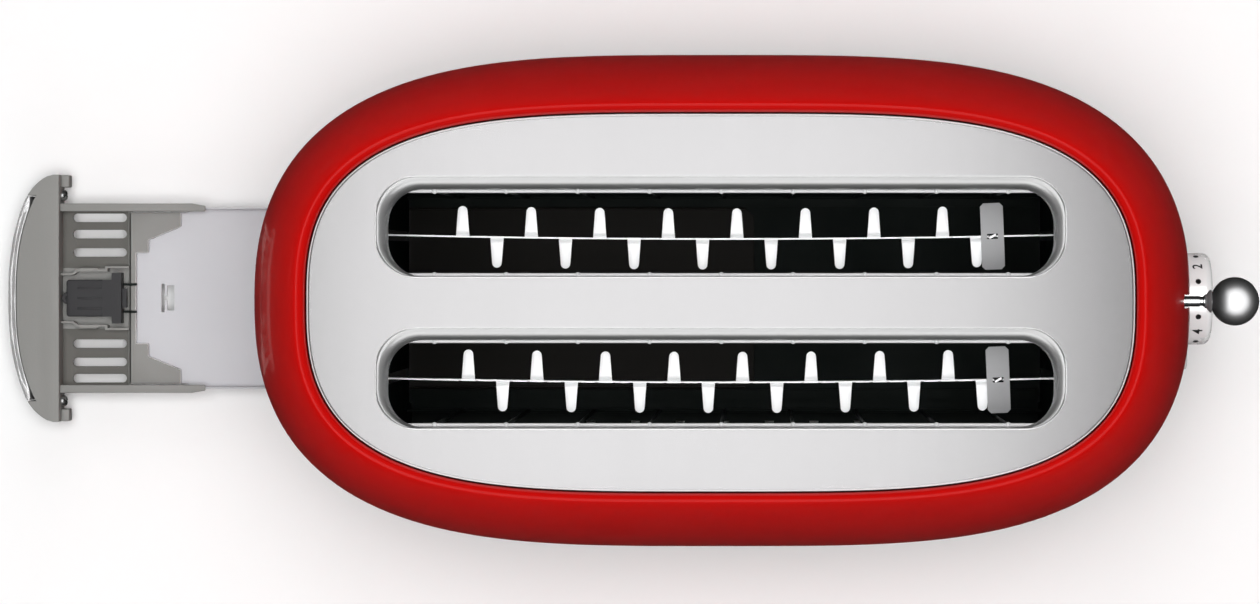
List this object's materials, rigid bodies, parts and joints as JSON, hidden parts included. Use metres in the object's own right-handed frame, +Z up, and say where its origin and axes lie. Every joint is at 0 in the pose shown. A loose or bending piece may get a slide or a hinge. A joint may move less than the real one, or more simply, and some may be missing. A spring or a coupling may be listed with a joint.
{
  "type": "pop up toaster",
  "caption": "Pop-up toaster with an oval enamelled casing, long bread slots in a steel top panel, a ball-ended lever, a browning dial and a crumb tray that pulls out at one end.",
  "frame": {"origin": "on the surface it stands on, under the middle of everything it covers with the crumb tray pulled out as in the rest pose", "axes": "+X along the casing, from the crumb tray's end to the lever's end; +Y across it, to the rear; +Z up"},
  "size_m": [0.5398, 0.208, 0.215],
  "materials": {
    "red_enamel": "glossy red enamel",
    "satin_steel": "satin, fine brushing",
    "dark_steel": "heat-darkened",
    "reflector_sheet": "heat-darkened",
    "bright_wire": "bright zinc or nickel plate",
    "chrome": "polished",
    "mica": "mica sheet, dull",
    "heating_ribbon": "oxidised resistance ribbon",
    "grey_plastic": "fine matt grain",
    "black_plastic": "fine matt grain",
    "aluminium_sheet": "mill finish",
    "rubber": "matt",
    "board": "solder mask",
    "copper_coil": "enamelled wire under tape"
  },
  "bodies": {
    "housing": {"body_shell": "red_enamel", "top_panel": "satin_steel", "base_ring": "black_plastic", "base_plate": "dark_steel", "foot_front_left": "rubber", "foot_rear_left": "rubber", "foot_front_right": "rubber", "foot_rear_right": "rubber", "cord_gland": "rubber", "chassis_left": "dark_steel", "chassis_right": "dark_steel", "reflector_front_slot_front": "reflector_sheet", "card_front_slot_front": "mica", "winding_front_slot_front": "heating_ribbon", "reflector_front_slot_rear": "reflector_sheet", "card_front_slot_rear": "mica", "winding_front_slot_rear": "heating_ribbon", "reflector_rear_slot_front": "reflector_sheet", "card_rear_slot_front": "mica", "winding_rear_slot_front": "heating_ribbon", "reflector_rear_slot_rear": "reflector_sheet", "card_rear_slot_rear": "mica", "winding_rear_slot_rear": "heating_ribbon", "guide_rod": "bright_wire", "return_spring": "bright_wire", "magnet_core": "dark_steel", "magnet_coil": "copper_coil", "control_board": "board", "potentiometer": "black_plastic", "tray_guide_front": "black_plastic", "tray_guide_rear": "black_plastic"},
    "carriage": {"carriage": "dark_steel", "magnet_keeper": "satin_steel", "lever_shank": "chrome", "lever_collar": "black_plastic", "lever_ball": "chrome", "rack_front": "bright_wire", "rack_rear": "bright_wire", "rack_plate_front": "satin_steel", "rack_plate_rear": "satin_steel"},
    "guard_front_slot_front": {"guard_front_slot_front": "bright_wire"},
    "guard_front_slot_rear": {"guard_front_slot_rear": "bright_wire"},
    "guard_rear_slot_front": {"guard_rear_slot_front": "bright_wire"},
    "guard_rear_slot_rear": {"guard_rear_slot_rear": "bright_wire"},
    "dial": {"dial_knob": "chrome", "dial_shaft": "satin_steel"},
    "button_defrost": {"button_defrost": "chrome"},
    "button_reheat": {"button_reheat": "chrome"},
    "button_bagel": {"button_bagel": "chrome"},
    "tray": {"tray_frame": "grey_plastic", "tray_front_cover": "satin_steel", "tray_sheet": "aluminium_sheet", "tray_latch_body": "black_plastic", "tray_screw_front": "bright_wire", "tray_screw_rear": "bright_wire"},
    "tray_latch": {"tray_latch_plate": "black_plastic", "tray_latch_spring_front": "bright_wire", "tray_latch_spring_rear": "bright_wire"}
  },
  "joints": [
    {"name": "lever_slide", "type": "slide", "parent": "housing", "child": "carriage", "axis": [0, 0, -1], "range_m": [-0.012, 0.076], "stiffness_N_per_m": 120, "springref_m": -0.0142, "deforming": ["return_spring"]},
    {"name": "guard_front_slot_front_swing", "type": "hinge", "parent": "housing", "child": "guard_front_slot_front", "pos_m": [0.04874, -0.04955, 0.032], "axis": [-1, 0, 0], "range_deg": [-0.4, 2.4]},
    {"name": "guard_front_slot_rear_swing", "type": "hinge", "parent": "housing", "child": "guard_front_slot_rear", "pos_m": [0.04874, -0.01565, 0.032], "axis": [1, 0, 0], "range_deg": [-0.4, 2.4]},
    {"name": "guard_rear_slot_front_swing", "type": "hinge", "parent": "housing", "child": "guard_rear_slot_front", "pos_m": [0.04874, 0.01095, 0.032], "axis": [-1, 0, 0], "range_deg": [-0.4, 2.4]},
    {"name": "guard_rear_slot_rear_swing", "type": "hinge", "parent": "housing", "child": "guard_rear_slot_rear", "pos_m": [0.04874, 0.04485, 0.032], "axis": [1, 0, 0], "range_deg": [-0.4, 2.4]},
    {"name": "dial_turn", "type": "hinge", "parent": "housing", "child": "dial", "pos_m": [0.25, 0, 0.046], "axis": [1, 0, 0], "range_deg": [-135, 90]},
    {"name": "button_defrost_press", "type": "slide", "parent": "housing", "child": "button_defrost", "axis": [-1, 0, 0], "range_m": [0, 0.001], "stiffness_N_per_m": 400, "springref_m": -0.001},
    {"name": "button_reheat_press", "type": "slide", "parent": "housing", "child": "button_reheat", "axis": [-1, 0, 0], "range_m": [0, 0.001], "stiffness_N_per_m": 400, "springref_m": -0.001},
    {"name": "button_bagel_press", "type": "slide", "parent": "housing", "child": "button_bagel", "axis": [-1, 0, 0], "range_m": [0, 0.001], "stiffness_N_per_m": 400, "springref_m": -0.001},
    {"name": "tray_slide", "type": "slide", "parent": "housing", "child": "tray", "axis": [1, 0, 0], "range_m": [-0.12, 0.125]},
    {"name": "tray_latch_press", "type": "slide", "parent": "tray", "child": "tray_latch", "axis": [-1, 0, 0], "range_m": [0, 0.003], "stiffness_N_per_m": 400, "springref_m": -0.002}
  ],
  "couplings": [
    {"joint": "guard_front_slot_front_swing", "follows": "lever_slide", "rad_per_m": 0.525},
    {"joint": "guard_front_slot_rear_swing", "follows": "lever_slide", "rad_per_m": 0.525},
    {"joint": "guard_rear_slot_front_swing", "follows": "lever_slide", "rad_per_m": 0.525},
    {"joint": "guard_rear_slot_rear_swing", "follows": "lever_slide", "rad_per_m": 0.525}
  ]
}
